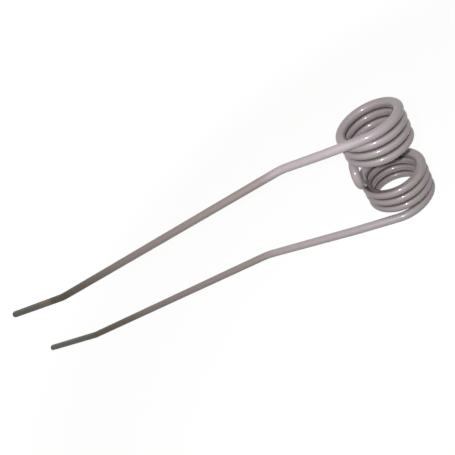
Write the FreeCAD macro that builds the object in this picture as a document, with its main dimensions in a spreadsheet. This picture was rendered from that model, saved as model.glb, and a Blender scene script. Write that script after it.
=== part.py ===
import FreeCAD, Part
import math
import os

# Twin spring tine for a hay rake, bent from one length of round spring wire.
# Along the wire: short tine, coil, fixing loop, coil of the opposite hand, long tine.
# Both coils share the Z axis, the loop's middle plane is Z = 0, and the tines run towards +X.
# Lengths are in millimetres and angles in degrees.

document = FreeCAD.newDocument("TwinSpringTine")

# Driving sizes
sheet = document.addObject("Spreadsheet::Sheet", "Sizes")
SIZES = {
    "wire_diameter": 9.5,
    "coil_mean_diameter": 58.8,
    "short_coil_pitch": 10.37,
    "long_coil_pitch": 10.69,
    "coil_winding": 1356.8,
    "turn_blend_angle": 45.0,
    "release_angle": 60.0,
    "long_release_radius": 38.9,
    "short_release_radius": 35.5,
    "short_tine_lag": 3.5,
    "inner_turn_spacing": 28.0,
    "loop_outward_angle": 9.8,
    "loop_root_radius": 20.0,
    "loop_straight": 1.0,
    "loop_closing_angle": 5.2,
    "long_lead_run": 45.0,
    "long_lead_bend": 1.9,
    "long_first_run": 117.0,
    "long_first_bend": 12.9,
    "long_first_bend_radius": 66.0,
    "long_middle_run": 316.3,
    "long_tip_bend": 8.6,
    "long_tip_bend_radius": 50.0,
    "long_tip_run": 113.9,
    "short_lead_run": 35.0,
    "short_lead_bend": 2.6,
    "short_first_run": 49.5,
    "short_first_bend": 20.0,
    "short_first_bend_radius": 35.0,
    "short_middle_run": 333.6,
    "short_tip_bend": 13.1,
    "short_tip_bend_radius": 38.0,
    "short_tip_run": 117.4,
    "lead_bend_radius": 100.0,
    "tip_rounding": 1.5,
}
for row, (alias, size) in enumerate(SIZES.items(), start=1):
    sheet.set(f"A{row}", alias)
    sheet.set(f"B{row}", str(size))
    sheet.setAlias(f"B{row}", alias)
document.recompute()

wire_diameter = sheet.wire_diameter
coil_radius = sheet.coil_mean_diameter / 2
inner_height = sheet.inner_turn_spacing / 2
loop_closing = math.radians(sheet.loop_closing_angle)

UPPER = 1
LOWER = -1
PITCHES = {UPPER: sheet.short_coil_pitch, LOWER: sheet.long_coil_pitch}
LONG_RELEASE = 0.0
SHORT_RELEASE = -sheet.short_tine_lag


def rotated(vector, degrees):
    """Turn a vector about the coil axis, anticlockwise seen from above."""
    angle = math.radians(degrees)
    return FreeCAD.Vector(
        vector.x * math.cos(angle) - vector.y * math.sin(angle),
        vector.x * math.sin(angle) + vector.y * math.cos(angle),
        vector.z,
    )


def mirrored(point):
    """The same place on the other side of the loop's middle plane."""
    return FreeCAD.Vector(point.x, point.y, -point.z)


# Coil geometry, counted as degrees of winding from where the long tine leaves its coil
def coil_height(winding, side):
    turns_to_loop = (sheet.coil_winding - winding) / 360
    return inner_height + PITCHES[side] * turns_to_loop


def coil_point(winding, side):
    point = rotated(FreeCAD.Vector(0, coil_radius, 0), winding)
    point.z = side * coil_height(winding, side)
    return point


def coil_direction(winding, side):
    """The wire's direction along the winding, from the tine towards the loop."""
    direction = rotated(FreeCAD.Vector(-1, 0, 0), winding)
    direction.z = -side * PITCHES[side] / (2 * math.pi * coil_radius)
    return direction.normalize()


def release_point(release, release_radius, side):
    """Where the tine leaves, after a last part of a turn with a wider radius."""
    opening = release + sheet.release_angle
    centre = rotated(FreeCAD.Vector(0, coil_radius - release_radius, 0), opening)
    point = centre + rotated(FreeCAD.Vector(0, release_radius, 0), release)
    point.z = side * coil_height(release, side)
    return point


def loop_direction(side, outward_angle):
    """Down the loop's leg, turned outward from the coil and closing in on the middle plane."""
    along = rotated(FreeCAD.Vector(-1, 0, 0), sheet.coil_winding - outward_angle)
    direction = along * math.cos(loop_closing)
    direction.z = -side * math.sin(loop_closing)
    return direction


# Pieces of centre line
def straight(start, end):
    return Part.LineSegment(start, end).toShape()


def arc_between(start, end, corner):
    """The arc that touches start to corner and corner to end, where both are equally long."""
    middle = (start + end) / 2
    half_turn = math.atan2((corner - middle).Length, (end - start).Length / 2)
    crest = middle + (corner - middle) * (math.tan(half_turn / 2) / math.tan(half_turn))
    return Part.Arc(start, crest, end).toShape()


def joined_arcs(start, start_direction, end, end_direction):
    """Two arcs that leave start and reach end in the given directions and touch in between."""
    chord = end - start
    directions = start_direction + end_direction
    spread = 2 * (1 - start_direction.dot(end_direction))
    along = chord.dot(directions)
    reach = (-along + math.sqrt(along ** 2 + spread * chord.dot(chord))) / spread
    first_corner = start + start_direction * reach
    last_corner = end - end_direction * reach
    meeting = (first_corner + last_corner) / 2
    return [arc_between(start, meeting, first_corner), arc_between(meeting, end, last_corner)]


def bent_run(start, heading, runs, bends):
    """Straight runs in a flat plane, measured to the corners, with a rounded bend between each two."""
    edges = []
    place = start
    cut_back = 0.0
    for number, length in enumerate(runs):
        direction = rotated(FreeCAD.Vector(1, 0, 0), heading)
        corner = place + direction * length
        if number == len(bends):
            edges.append(straight(place + direction * cut_back, corner))
            break
        angle, radius = bends[number]
        tangent = radius * math.tan(math.radians(abs(angle)) / 2)
        edges.append(straight(place + direction * cut_back, corner - direction * tangent))
        turned = rotated(FreeCAD.Vector(1, 0, 0), heading + angle)
        edges.append(arc_between(corner - direction * tangent, corner + turned * tangent, corner))
        place = corner
        heading += angle
        cut_back = tangent
    return edges


def coil_edges(release, tine_start, side):
    """Centre line of one coil, from its tine to its loop leg, in equal stretches of a turn."""
    opening = release + sheet.release_angle
    tine_direction = rotated(FreeCAD.Vector(-1, 0, 0), release)
    start_direction = coil_direction(opening, side)
    edges = joined_arcs(tine_start, tine_direction, coil_point(opening, side), start_direction)
    stretches = math.ceil((sheet.coil_winding - opening) / sheet.turn_blend_angle)
    step = (sheet.coil_winding - opening) / stretches
    for number in range(stretches):
        begin = opening + number * step
        end = begin + step
        last = number == stretches - 1
        end_direction = loop_direction(side, 0.0) if last else coil_direction(end, side)
        edges += joined_arcs(
            coil_point(begin, side), coil_direction(begin, side), coil_point(end, side), end_direction
        )
    return edges


def leg_edges(side):
    """The loop's leg: a short arc that turns it outward, then a straight."""
    root = coil_point(sheet.coil_winding, side)
    tangent = sheet.loop_root_radius * math.tan(math.radians(sheet.loop_outward_angle) / 2)
    leg_direction = loop_direction(side, sheet.loop_outward_angle)
    corner = root + loop_direction(side, 0.0) * tangent
    leg_start = corner + leg_direction * tangent
    leg_end = leg_start + leg_direction * sheet.loop_straight
    return [arc_between(root, leg_start, corner), straight(leg_start, leg_end)], leg_end


def loop_bend(leg_end):
    """The round end of the U, from the upper leg to the lower one."""
    bend_radius = leg_end.z / math.cos(loop_closing)
    outward = rotated(FreeCAD.Vector(-1, 0, 0), sheet.coil_winding - sheet.loop_outward_angle)
    crown = FreeCAD.Vector(leg_end.x, leg_end.y, 0) + outward * bend_radius * (1 - math.sin(loop_closing))
    return Part.Arc(leg_end, crown, mirrored(leg_end)).toShape()


# Centre line of the whole wire, from the short tine's tip to the long tine's tip
short_start = release_point(SHORT_RELEASE, sheet.short_release_radius, UPPER)
long_start = release_point(LONG_RELEASE, sheet.long_release_radius, LOWER)
short_runs = [
    sheet.short_lead_run,
    sheet.short_first_run,
    sheet.short_middle_run,
    sheet.short_tip_run,
]
short_bends = [
    (-sheet.short_lead_bend, sheet.lead_bend_radius),
    (sheet.short_first_bend, sheet.short_first_bend_radius),
    (-sheet.short_tip_bend, sheet.short_tip_bend_radius),
]
long_runs = [
    sheet.long_lead_run,
    sheet.long_first_run,
    sheet.long_middle_run,
    sheet.long_tip_run,
]
long_bends = [
    (-sheet.long_lead_bend, sheet.lead_bend_radius),
    (sheet.long_first_bend, sheet.long_first_bend_radius),
    (-sheet.long_tip_bend, sheet.long_tip_bend_radius),
]
short_tine = bent_run(short_start, SHORT_RELEASE, short_runs, short_bends)
long_tine = bent_run(long_start, LONG_RELEASE, long_runs, long_bends)
upper_coil = coil_edges(SHORT_RELEASE, short_start, UPPER)
lower_coil = coil_edges(LONG_RELEASE, long_start, LOWER)
upper_leg, upper_leg_end = leg_edges(UPPER)
lower_leg, lower_leg_end = leg_edges(LOWER)
upper_half = short_tine[::-1] + upper_coil + upper_leg
lower_half = lower_leg[::-1] + lower_coil[::-1] + long_tine
ordered_edges = upper_half + [loop_bend(upper_leg_end)] + lower_half
centre_line = document.addObject("Part::Feature", "CentreLine")
centre_line.Shape = Part.Wire(ordered_edges)

# Round section of the wire, standing across the short tine's tip
section = document.addObject("Part::Circle", "WireSection")
section.setExpression("Radius", "Sizes.wire_diameter / 2")
tip_edge = short_tine[-1]
tip_point = tip_edge.Vertexes[-1].Point
tip_direction = (tip_edge.Vertexes[-1].Point - tip_edge.Vertexes[0].Point).normalize()
section.Placement = FreeCAD.Placement(tip_point, FreeCAD.Rotation(FreeCAD.Vector(0, 0, 1), tip_direction))

# The bent wire
bent_wire = document.addObject("Part::Sweep", "BentWire")
bent_wire.Sections = [section]
bent_wire.Spine = (centre_line, [f"Edge{number}" for number in range(1, len(ordered_edges) + 1)])
bent_wire.Solid = True
bent_wire.Frenet = False
document.recompute()

# Edge of each cut end, rounded
end_faces = [face for face in bent_wire.Shape.Faces if isinstance(face.Surface, Part.Plane)]
end_edges = []
for number, edge in enumerate(bent_wire.Shape.Edges, start=1):
    if any(edge.isSame(rim) for face in end_faces for rim in face.Edges):
        end_edges.append((number, sheet.tip_rounding, sheet.tip_rounding))
spring_tine = document.addObject("Part::Fillet", "SpringTine")
spring_tine.Base = bent_wire
spring_tine.Edges = end_edges
spring_tine.Label = "spring_tine"
document.recompute()

# Checks, then the file
for item in document.Objects:
    if "Invalid" in item.State or "Error" in item.State:
        raise RuntimeError(f"{item.Label} did not rebuild")
nodes = [spring_tine]
for node in nodes:
    if node.Shape.isNull() or not node.Shape.isValid() or len(node.Shape.Solids) != 1:
        raise RuntimeError(f"{node.Label} is not one sound solid")
expected = math.pi * wire_diameter ** 2 / 4 * centre_line.Shape.Length
print("wire length", round(centre_line.Shape.Length, 1), "mm")
print("volume", round(spring_tine.Shape.Volume, 1), "of section times length", round(expected, 1))
print("box", spring_tine.Shape.BoundBox)
os.makedirs("parts", exist_ok=True)
for node in nodes:
    node.Shape.exportStep(f"parts/{node.Label}.step")
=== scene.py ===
# %% [markdown]
# # A twin spring tine in grey paint
#
# The object is a single length of round spring wire for a hay rake. It is two straight tines, a
# coil behind each of them, and a narrow loop that a bolt holds against the tine bar.
#
# The wire's shape is finished before this file starts, so nothing is modelled here. What is left
# to make is how it looks: worn semi-gloss paint, dirt towards the tips, a camera and plain light.

import math

import bpy
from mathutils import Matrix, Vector


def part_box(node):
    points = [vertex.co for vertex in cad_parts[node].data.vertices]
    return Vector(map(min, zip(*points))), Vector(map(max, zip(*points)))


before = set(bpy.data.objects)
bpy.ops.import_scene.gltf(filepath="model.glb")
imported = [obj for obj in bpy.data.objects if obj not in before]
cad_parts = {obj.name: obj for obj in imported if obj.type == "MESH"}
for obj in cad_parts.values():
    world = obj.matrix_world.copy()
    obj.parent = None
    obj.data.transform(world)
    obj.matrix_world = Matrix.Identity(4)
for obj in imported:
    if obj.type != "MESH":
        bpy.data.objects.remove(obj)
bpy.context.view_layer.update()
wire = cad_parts["spring_tine"]
lowest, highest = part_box("spring_tine")
print("wire from", [round(v, 4) for v in lowest], "to", [round(v, 4) for v in highest])

# %% [markdown]
# ## Even shading along the wire
#
# The mesh comes in patches, one for each arc of the wire, and at a seam each patch has its own
# normals. A lamp's reflection can fall into that step and vanish. Two modifiers repair this and
# leave the shape alone: one joins points that share a place, and one works out the normals anew.

# %% Join the patches
SAME_PLACE = 0.00001


def even_shading(node):
    join = node.modifiers.new("join_patches", "WELD")
    join.merge_threshold = SAME_PLACE
    smooth = node.modifiers.new("even_normals", "WEIGHTED_NORMAL")
    smooth.mode = "CORNER_ANGLE"
    smooth.keep_sharp = False


even_shading(wire)
print("modifiers on the wire:", [modifier.name for modifier in wire.modifiers])

# %% [markdown]
# ## Writing shader maths as plain expressions
#
# A finish is a small calculation on every point of the surface, such as "dirt is strong where the
# noise is high and the tip is near". Blender stores that as Math nodes wired together. Placing
# them one by one hides the idea, so one small class wraps a socket and gives it the usual
# operators: each expression adds the Math node that it stands for.

# %% A socket that can be calculated with
class Signal:
    """The output of a shader node, ready for + - * / ** with numbers and other signals.

    A signal without a socket is an empty tree's start, where its first nodes are added.
    """

    def __init__(self, tree, socket=None):
        self.tree = tree
        self.socket = socket

    def add(self, kind, settings=None, inputs=None, output=0):
        """Any other node: its type, its settings, and the values or links of its sockets."""
        node = self.tree.nodes.new(kind)
        for name, value in (settings or {}).items():
            setattr(node, name, value)
        for name, value in (inputs or {}).items():
            connect(value, node.inputs[name])
        return Signal(self.tree, node.outputs[output])

    def maths(self, operation, other=None):
        """This signal, and a second value where the operation needs one."""
        inputs = {0: self} if other is None else {0: self, 1: other}
        return self.add("ShaderNodeMath", {"operation": operation}, inputs)

    def reflected(self, operation, other):
        """The same with the other value first, for expressions such as 1 - mask."""
        return self.add("ShaderNodeMath", {"operation": operation}, {0: other, 1: self})

    def __add__(self, other):
        return self.maths("ADD", other)

    def __radd__(self, other):
        return self.reflected("ADD", other)

    def __sub__(self, other):
        return self.maths("SUBTRACT", other)

    def __rsub__(self, other):
        return self.reflected("SUBTRACT", other)

    def __neg__(self):
        return 0.0 - self

    def __mul__(self, other):
        return self.maths("MULTIPLY", other)

    def __rmul__(self, other):
        return self.reflected("MULTIPLY", other)

    def __truediv__(self, other):
        return self.maths("DIVIDE", other)

    def __rtruediv__(self, other):
        return self.reflected("DIVIDE", other)

    def __pow__(self, other):
        return self.maths("POWER", other)

    def __rpow__(self, other):
        return self.reflected("POWER", other)

    def ramp(self, start, end):
        """0 below start, 1 above end, and a smooth change between them."""
        settings = {"interpolation_type": "SMOOTHSTEP"}
        inputs = {"Value": self, "From Min": start, "From Max": end}
        return self.add("ShaderNodeMapRange", settings, inputs)

    def end(self, kind):
        """Close the tree: this shader goes to its output node."""
        connect(self, self.tree.nodes.new(kind).inputs["Surface"])


def connect(value, socket):
    """Link a signal to a socket, or set the socket's own value."""
    if isinstance(value, Signal):
        value.tree.links.new(value.socket, socket)
    else:
        socket.default_value = value


print("expressions of signals now add their own Math nodes")

# %% [markdown]
# ### Blending colours and shaders
#
# A Math node turns a colour grey, so colours go through a Mix node, and whole shaders through a
# Mix Shader. Both take a mask between 0 and 1. The Mix node holds sockets for numbers and vectors
# too, all with the same names, so its colour sockets are found by their places in the list.

# %% Blend with a mask
MIX_FIRST, MIX_SECOND, MIX_RESULT = 6, 7, 2


def blend_colours(mask, first, second):
    """The first colour where the mask is 0 and the second where it is 1."""
    inputs = {"Factor": mask, MIX_FIRST: first, MIX_SECOND: second}
    return mask.add("ShaderNodeMix", {"data_type": "RGBA"}, inputs, output=MIX_RESULT)


def blend_shaders(mask, first, second):
    """The first shader where the mask is 0 and the second where it is 1."""
    return mask.add("ShaderNodeMixShader", inputs={"Fac": mask, 1: first, 2: second})


def empty_tree(owner):
    """Clear the nodes of a material or world and give the start for its own."""
    owner.use_nodes = True
    owner.node_tree.nodes.clear()
    return Signal(owner.node_tree)


print("helpers: blend_colours, blend_shaders, empty_tree")

# %% [markdown]
# ## The paint
#
# The wire is dipped in a silver-grey paint with a slightly pink tone and a medium gloss. On the
# coils it is clean. Along the tines it gets duller and browner, because that is where soil and
# crop rub, and close to the tips it is a dark olive grey.
#
# An image could be painted for this, but it would need the wire unrolled. The object's own
# coordinates do the work instead: X tells how far down a tine a point is, and Z tells which tine.
# Four noise patterns, from coarse to very fine, keep every change from looking drawn with a ruler.

# %% Where on the wire a point is
grey_paint = bpy.data.materials.new("grey_paint")
start = empty_tree(grey_paint)
place = start.add("ShaderNodeTexCoord", output="Object")
along, across, height = (
    place.add("ShaderNodeSeparateXYZ", inputs={"Vector": place}, output=axis) for axis in "XYZ"
)
from_axis = (along * along + across * across) ** 0.5


def noise(scale, detail, roughness):
    inputs = {"Vector": place, "Scale": scale, "Detail": detail, "Roughness": roughness}
    return place.add("ShaderNodeTexNoise", inputs=inputs)


broad = noise(22.0, 3.0, 0.55)
patches = noise(70.0, 2.0, 0.5)
mottle = noise(140.0, 4.0, 0.6)
fine = noise(900.0, 3.0, 0.6)
print("patterns in the paint: broad, patches, mottle, fine")

# %% [markdown]
# ### Zones along the wire
#
# Each finish starts at its own distance from the coil axis, in metres. The long tine is handled
# and rubbed bright behind its coil, and it gets dull and dirty further out than the short one
# does. On the last stretch the ground has worn both tips to a greyer steel. The short tine also
# has a rusty patch at its last bend. Noise is added before each ramp, so a border wanders.

# %% Mark the zones
BETWEEN_TINES = (-0.01, 0.01)
OFF_COIL = (0.0345, 0.042)
RUBBED_ZONE = (0.06, 0.12)
DULL_ZONE = (0.09, 0.12)
GRIMY_ZONE = (0.28, 0.42)
WORN_ZONE = (0.48, 0.515)
RUST_STARTS, RUST_ENDS = (0.432, 0.443), (0.456, 0.468)
LONG_DULLS_LATER, LONG_SOILS_LATER, SHORT_WEARS_EARLIER = 0.065, 0.035, 0.055
GRIME_ON_LONG = 0.72


def wander(pattern, reach):
    """A pattern turned into a shift of a border, in metres."""
    return (pattern - 0.5) * reach


on_short = height.ramp(*BETWEEN_TINES)
on_long = 1.0 - on_short
off_coil = from_axis.ramp(*OFF_COIL)
rubbed = along.ramp(*RUBBED_ZONE) * on_long
dulling = (along - LONG_DULLS_LATER * on_long + wander(broad, 0.02)).ramp(*DULL_ZONE)
soiled = along - LONG_SOILS_LATER * on_long + wander(broad, 0.06) + wander(mottle, 0.04)
grime = soiled.ramp(*GRIMY_ZONE) * (GRIME_ON_LONG + (1.0 - GRIME_ON_LONG) * on_short)
ground = along + SHORT_WEARS_EARLIER * on_short + wander(broad, 0.02) + wander(mottle, 0.01)
worn = ground.ramp(*WORN_ZONE)
near_bend = along + wander(mottle, 0.01)
rust = near_bend.ramp(*RUST_STARTS) * (1.0 - near_bend.ramp(*RUST_ENDS)) * on_short
print("zones: rubbed, dull, grimy, worn, rusty")

# %% [markdown]
# ### Colour along the wire
#
# Paints are mixed from the coil outwards. The coil's grey drifts between a lilac and a greener
# tone, as in the picture. The loop and the rod behind the coils are lighter. Then come the duller
# grey after the first bend, the grime, small sooty spots, the worn tips and the rusty patch.

# %% Mix the paint's colour
COIL_LILAC = (0.335, 0.284, 0.313, 1.0)
COIL_GREEN = (0.32, 0.295, 0.29, 1.0)
ROD = (0.42, 0.368, 0.4, 1.0)
RUBBED = (0.44, 0.379, 0.396, 1.0)
DULL_LONG = (0.338, 0.288, 0.28, 1.0)
DULL_SHORT = (0.287, 0.239, 0.231, 1.0)
GRIMY = (0.138, 0.12, 0.077, 1.0)
SOOTY = (0.32, 0.28, 0.30, 1.0)
WORN = (0.222, 0.227, 0.206, 1.0)
RUSTY = (0.33, 0.28, 0.225, 1.0)
TONE_CHANGE = (0.42, 0.6)
SOOT_SPOTS = (0.5, 0.72)
SOOT_STRENGTH = 0.3
coil_paint = blend_colours(patches.ramp(*TONE_CHANGE), COIL_LILAC, COIL_GREEN)
rod_paint = blend_colours(off_coil, coil_paint, ROD)
clean_paint = blend_colours(rubbed, rod_paint, RUBBED)
dull_paint = blend_colours(on_short, DULL_LONG, DULL_SHORT)
used_paint = blend_colours(dulling, clean_paint, dull_paint)
grimy_paint = blend_colours(grime, used_paint, GRIMY)
spotted_paint = blend_colours(mottle.ramp(*SOOT_SPOTS) * SOOT_STRENGTH, grimy_paint, SOOTY)
worn_paint = blend_colours(worn, spotted_paint, WORN)
rusty_paint = blend_colours(rust, worn_paint, RUSTY)
print("colours from the coil to the tips are mixed")

# %% [markdown]
# ### Painted shade between the turns
#
# Painted shade darkens the grooves between the turns, where shade falls, and less the inside of
# the coils. A groove lies where the distance from the coil axis equals the coil's mean radius.
# On the inside, and on the side towards the tines, the painted shade reaches a little wider.
#
# The free side of a coil's last turn has no neighbour, so it gets no painted shade. Its height
# falls by one pitch per turn, and the angle around the axis gives the part of the turn.

# %% Darken the grooves and the inside
COIL_RADIUS = 0.0294
WIRE_RADIUS = 0.00475
PITCH = 0.0105
LAST_TURN = 0.0536
FIRST_GROOVE = (0.015, 0.019)
INSIDE = (-0.2, 0.8)
TINE_SIDE = (-0.005, 0.02)
GROOVE_DEPTH = (0.15, 0.85)
# how much wider the painted shade reaches on the inside and towards the tines
SHADE_WIDENING = 0.12
SHADE_INSIDE = 0.15
# the colour of the painted shade in the grooves and inside the coils
PAINTED_SHADE = (0.085, 0.063, 0.054, 1.0)
off_middle = (from_axis - COIL_RADIUS) / WIRE_RADIUS
part_of_turn = ((-along).maths("ARCTAN2", across) / math.tau).maths("FRACT")
level = height.maths("ABSOLUTE")
free_side = (level + PITCH * part_of_turn).ramp(LAST_TURN - 0.001, LAST_TURN + 0.002)
between_turns = level.ramp(*FIRST_GROOVE) * (1.0 - free_side)
inside = (-off_middle).ramp(*INSIDE)
widened_shade = inside * along.ramp(*TINE_SIDE)
groove = (1.0 - off_middle.maths("ABSOLUTE") + SHADE_WIDENING * widened_shade).ramp(*GROOVE_DEPTH)
# painted shade: strongest in the grooves, weaker over the inside of the coils
painted_shade = between_turns * groove.maths("MAXIMUM", inside * SHADE_INSIDE)
colour = blend_colours(painted_shade, rusty_paint, PAINTED_SHADE)
print("coil", 2000 * COIL_RADIUS, "mm across, mean, with", 1000 * PITCH, "mm from turn to turn")

# %% [markdown]
# ### Gloss and relief
#
# The paint is semi-gloss: a small bright spot of the lamp in a wider soft glow. One roughness
# can't give both, so the paint below is fairly rough and a clear coat above it is smooth. Soil
# takes the coat away towards the tips and makes the paint rougher. The finest noise is a very
# shallow relief, like the skin of paint that has dried on bare wire.

# %% Gloss and relief
relief = place.add("ShaderNodeBump", inputs={"Strength": 0.03, "Distance": 0.0003, "Height": fine})
painted_wire = place.add(
    "ShaderNodeBsdfPrincipled",
    inputs={
        "Base Color": colour,
        "Roughness": 0.39 + dulling * 0.08 + grime * 0.12 + (mottle - 0.5) * 0.08,
        "Normal": relief,
        "Specular IOR Level": 0.3,
        "Coat Weight": 0.6 - 0.5 * grime,
        "Coat Roughness": 0.1,
    },
)
painted_wire.end("ShaderNodeOutputMaterial")
wire.data.materials.clear()
wire.data.materials.append(grey_paint)
print("paint nodes:", len(grey_paint.node_tree.nodes))

# %% [markdown]
# ## The floor and the background
#
# The picture has the tine on plain white. A lit white floor never comes out quite white, and more
# light would wash out the paint, so the floor mixes in a plain white glow for some rays only:
# those from the camera, in a reflection, or through something clear. Light that falls on the tine
# is left alone by it.
#
# The part that stays an ordinary matt floor still shows a faint soft shadow near the tine. It is
# pale where the camera looks, and it gives back little light, as the picture's darker undersides
# of the wire show.

# %% Lay the floor
FLOOR_SIZE = 12.0
bpy.ops.mesh.primitive_plane_add(size=FLOOR_SIZE, location=(0, 0, lowest.z))
floor = bpy.context.object
floor.name = "floor"


def sees_background(start):
    """1 for the rays that see the white background and 0 for those that only carry light."""
    camera, mirrored, through = (
        start.add("ShaderNodeLightPath", output=kind)
        for kind in ("Is Camera Ray", "Is Glossy Ray", "Is Transmission Ray")
    )
    return camera + mirrored + through


print("floor", FLOOR_SIZE, "m wide at height", round(lowest.z, 4))

# %% Paint the floor
WHITE = (1.0, 1.0, 1.0, 1.0)
PALE = (0.8, 0.8, 0.8, 1.0)
DIM = (0.06, 0.05, 0.037, 1.0)
GLOW = 1.02
WHITE_NEAR = 0.94
ALL_WHITE_FROM = (0.4, 0.8)
pale_floor = bpy.data.materials.new("pale_floor")
floor_start = empty_tree(pale_floor)
in_view = floor_start.add("ShaderNodeLightPath", output="Is Camera Ray")
dim_matt = floor_start.add("ShaderNodeBsdfDiffuse", inputs={"Color": DIM})
pale_matt = floor_start.add("ShaderNodeBsdfDiffuse", inputs={"Color": PALE})
matt = blend_shaders(in_view, dim_matt, pale_matt)
glow = floor_start.add("ShaderNodeEmission", inputs={"Color": WHITE, "Strength": GLOW})
spot = floor_start.add("ShaderNodeTexCoord", output="Object")
reach = spot.add("ShaderNodeVectorMath", {"operation": "LENGTH"}, {0: spot}, output="Value")
white_share = WHITE_NEAR + (1.0 - WHITE_NEAR) * reach.ramp(*ALL_WHITE_FROM)
blend_shaders(sees_background(floor_start) * white_share, matt, glow).end("ShaderNodeOutputMaterial")
floor.data.materials.append(pale_floor)
print("floor nodes:", len(pale_floor.node_tree.nodes))

# %% [markdown]
# ## The room around the tine
#
# The background above the floor is the world, and it is white for the same rays. For light it is
# a dim, slightly warm room. Seen from behind, the tine would be almost black in it, because the
# one lamp hangs on the other side. A second lamp there would draw bright streaks on the rings, so
# the world itself gets brighter towards the back instead: that light is soft and leaves no mark.

# %% Surround the scene
FRONT_FILL = (0.10, 0.08, 0.06, 1.0)
BACK_FILL = (0.45, 0.39, 0.34, 1.0)
BEHIND = (0.2, -0.87, 0.45)
studio = bpy.data.worlds.new("studio")
bpy.context.scene.world = studio
sky = empty_tree(studio)
direction = sky.add("ShaderNodeTexCoord", output="Generated")
towards_back = sky.add(
    "ShaderNodeVectorMath", {"operation": "DOT_PRODUCT"}, {0: direction, 1: BEHIND}, output="Value"
)
front, back, white = (
    sky.add("ShaderNodeBackground", inputs={"Color": tone, "Strength": 1.0})
    for tone in (FRONT_FILL, BACK_FILL, WHITE)
)
soft_fill = blend_shaders(towards_back.ramp(0.0, 0.9), front, back)
blend_shaders(sees_background(sky), soft_fill, white).end("ShaderNodeOutputWorld")
print("world nodes:", len(studio.node_tree.nodes))

# %% [markdown]
# ## Light
#
# Every turn of the coils carries one small bright spot, and the spots line up along the coil. That
# is the mark of one compact lamp a little to the left of the camera. Close as it is, it also makes
# the tines darker towards their far ends, as in the picture.

# %% Hang the lamp
LAMP_PLACE = Vector((-0.019, 0.3581, 0.2845))
LAMP_SIZE = 0.02
LAMP_POWER = 2.0
lamp_data = bpy.data.lights.new("key_lamp", "AREA")
lamp_data.shape = "DISK"
lamp_data.size = LAMP_SIZE
lamp_data.energy = LAMP_POWER
lamp = bpy.data.objects.new("key_lamp", lamp_data)
lamp.location = LAMP_PLACE
lamp.rotation_euler = (-LAMP_PLACE).to_track_quat("-Z", "Y").to_euler()
bpy.context.scene.collection.objects.link(lamp)
print("lamp", round(LAMP_PLACE.length, 3), "m from the coil axis")

# %% [markdown]
# ## Camera
#
# The camera stands behind the coils, close above them, and looks along the tines, so the near coil
# looks large and the tips small. It is also turned about its own axis by more than thirty degrees.

# %% Place the camera
CAMERA_PLACE = (-0.05044, 0.35355, 0.26001)
CAMERA_TURN = (50.329, 34.3184, -168.4218)
SENSOR_WIDTH = 36.0
IMAGE_WIDTH = 455
FOCAL_PIXELS = 387.02
camera_data = bpy.data.cameras.new("camera")
camera_data.sensor_width = SENSOR_WIDTH
camera_data.lens = SENSOR_WIDTH * FOCAL_PIXELS / IMAGE_WIDTH
camera_data.clip_start = 0.01
camera = bpy.data.objects.new("camera", camera_data)
camera.location = CAMERA_PLACE
camera.rotation_euler = [math.radians(angle) for angle in CAMERA_TURN]
bpy.context.scene.collection.objects.link(camera)
bpy.context.scene.camera = camera
bpy.context.scene.view_settings.view_transform = "Standard"
print("lens", round(camera_data.lens, 2), "mm")
